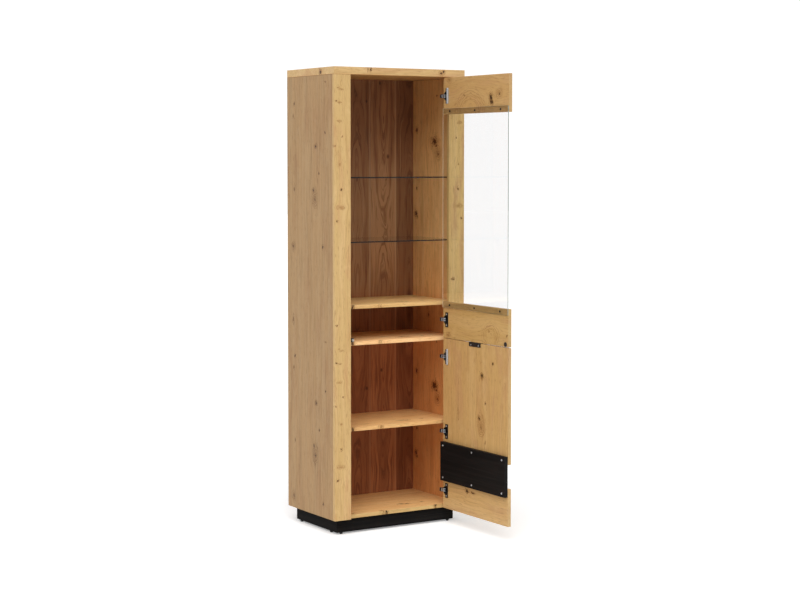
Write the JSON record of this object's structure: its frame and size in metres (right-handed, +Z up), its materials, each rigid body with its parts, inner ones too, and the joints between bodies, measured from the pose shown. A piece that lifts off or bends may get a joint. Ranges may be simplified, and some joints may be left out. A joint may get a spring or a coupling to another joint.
{
  "type": "display cabinet",
  "caption": "Tall wooden display cabinet on a recessed plinth with a glass upper door, a solid lower door, glass and wooden shelves, push latch and handle.",
  "frame": {"origin": "on the floor, under the middle of the whole as it stands with both doors open", "axes": "+X to the cabinet's right seen from the front, +Y from the front to the back, +Z up"},
  "size_m": [0.66, 0.9036, 2],
  "materials": {
    "knotty_oak": "knotty light oak decor, satin",
    "dark_board": "thin board with a dark brown plank decor",
    "black_wood": "black stained wood decor, matt",
    "clear_glass": "clear, polished edges",
    "beech": "plain turned beech",
    "nickel_steel": "nickel-plated",
    "dark_steel": "dark plated steel",
    "black_metal": "black powder coat, matt",
    "black_plastic": "moulded, matt",
    "grey_plastic": "moulded, satin",
    "pale_plastic": "moulded, smooth"
  },
  "bodies": {
    "cabinet": {"side_left": "knotty_oak", "side_right": "knotty_oak", "stile_left": "knotty_oak", "stile_right": "knotty_oak", "top_board": "knotty_oak", "bottom_panel": "knotty_oak", "upper_fixed_shelf": "knotty_oak", "middle_fixed_shelf": "knotty_oak", "lower_shelf": "knotty_oak", "back_panel": "dark_board", "plinth_front": "black_wood", "plinth_back": "black_wood", "plinth_left": "black_wood", "plinth_right": "black_wood", "glass_shelf_low": "clear_glass", "glass_shelf_high": "clear_glass", "carcass_dowels": "beech", "lower_shelf_pins": "nickel_steel", "glass_shelf_pins": "nickel_steel", "latch_screws": "nickel_steel", "hinge_pins": "nickel_steel", "mount_screws": "nickel_steel", "clamp_screws": "nickel_steel", "hinge_arm_1": "nickel_steel", "hinge_arm_2": "nickel_steel", "hinge_arm_3": "nickel_steel", "hinge_arm_4": "nickel_steel", "hinge_arm_5": "nickel_steel", "hinge_mount_1": "nickel_steel", "hinge_mount_2": "nickel_steel", "hinge_mount_3": "nickel_steel", "hinge_mount_4": "nickel_steel", "hinge_mount_5": "nickel_steel", "glides": "black_plastic", "latch_housing": "black_plastic"},
    "upper_door": {"upper_door_top_board": "knotty_oak", "upper_door_bottom_board": "knotty_oak", "door_glass": "clear_glass", "glass_screws": "nickel_steel", "strike": "black_plastic", "hinge_cup_1": "dark_steel", "hinge_cup_2": "dark_steel", "cup_screws_upper": "nickel_steel", "damper_upper": "grey_plastic"},
    "lower_door": {"lower_door_upper_board": "knotty_oak", "lower_door_lower_board": "knotty_oak", "joining_board": "black_wood", "joining_screws": "nickel_steel", "handle": "black_metal", "handle_screws": "nickel_steel", "hinge_cup_3": "dark_steel", "hinge_cup_4": "dark_steel", "hinge_cup_5": "dark_steel", "cup_screws_lower": "nickel_steel", "damper_lower": "grey_plastic"},
    "upper_centre_links": {"centre_links_upper": "nickel_steel"},
    "upper_side_links": {"side_links_upper": "nickel_steel"},
    "lower_centre_links": {"centre_links_lower": "nickel_steel"},
    "lower_side_links": {"side_links_lower": "nickel_steel"},
    "plunger": {"latch_plunger": "pale_plastic"}
  },
  "joints": [
    {"name": "upper_door_swing", "type": "hinge", "parent": "cabinet", "child": "upper_door", "pos_m": [0.2395, 0.03575, 1.395], "axis": [0, 0, -1], "range_deg": [-5, 90]},
    {"name": "lower_door_swing", "type": "hinge", "parent": "cabinet", "child": "lower_door", "pos_m": [0.2395, 0.03575, 0.4455], "axis": [0, 0, -1], "range_deg": [-5, 90]},
    {"name": "upper_centre_link_turn", "type": "hinge", "parent": "cabinet", "child": "upper_centre_links", "pos_m": [0.2225, 0.04925, 1.395], "axis": [0, 0, 1], "range_deg": [-2.1, 37.6]},
    {"name": "upper_side_link_turn", "type": "hinge", "parent": "cabinet", "child": "upper_side_links", "pos_m": [0.222, 0.04325, 1.395], "axis": [0, 0, 1], "range_deg": [-3.1, 54.1]},
    {"name": "lower_centre_link_turn", "type": "hinge", "parent": "cabinet", "child": "lower_centre_links", "pos_m": [0.2225, 0.04925, 0.4455], "axis": [0, 0, 1], "range_deg": [-2.1, 37.6]},
    {"name": "lower_side_link_turn", "type": "hinge", "parent": "cabinet", "child": "lower_side_links", "pos_m": [0.222, 0.04325, 0.4455], "axis": [0, 0, 1], "range_deg": [-3.1, 54.1]},
    {"name": "latch_press", "type": "slide", "parent": "cabinet", "child": "plunger", "axis": [0, 1, 0], "range_m": [0, 0.003], "stiffness_N_per_m": 800, "springref_m": -0.002}
  ],
  "couplings": [
    {"joint": "upper_centre_link_turn", "follows": "upper_door_swing", "ratio": 0.417},
    {"joint": "upper_side_link_turn", "follows": "upper_door_swing", "ratio": 0.6},
    {"joint": "lower_centre_link_turn", "follows": "lower_door_swing", "ratio": 0.417},
    {"joint": "lower_side_link_turn", "follows": "lower_door_swing", "ratio": 0.6}
  ]
}
